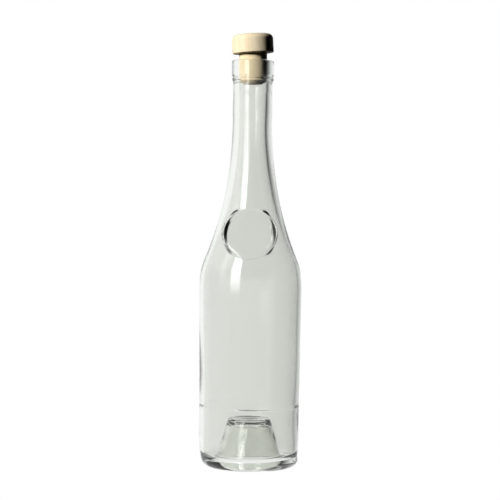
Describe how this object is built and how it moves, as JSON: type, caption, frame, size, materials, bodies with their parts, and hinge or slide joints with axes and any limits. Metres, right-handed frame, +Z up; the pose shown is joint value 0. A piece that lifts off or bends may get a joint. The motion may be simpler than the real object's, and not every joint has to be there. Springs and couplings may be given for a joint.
{
  "type": "stoppered glass bottle",
  "caption": "Tall clear glass bottle with sloping shoulders, a plain oval seal, a deep punt and a wooden-topped stopper that pulls out of the neck.",
  "frame": {"origin": "middle of the foot, on the surface the bottle stands on", "axes": "+Z up along the bottle's axis, -Y towards the seal, +X to the right seen from the seal's side"},
  "size_m": [0.0715, 0.0714, 0.3023],
  "materials": {
    "clear_glass": "clear, glossy, faintly grey-green",
    "pale_wood": "fine-grained turned wood, satin",
    "shank_cork": "foamed synthetic cork, matt"
  },
  "bodies": {
    "bottle": {"glass_bottle": "clear_glass"},
    "stopper": {"stopper_head": "pale_wood", "stopper_shank": "shank_cork"}
  },
  "joints": [
    {"name": "stopper_pull", "type": "slide", "parent": "bottle", "child": "stopper", "axis": [0, 0, 1], "range_m": [-0.004, 0.045]}
  ]
}
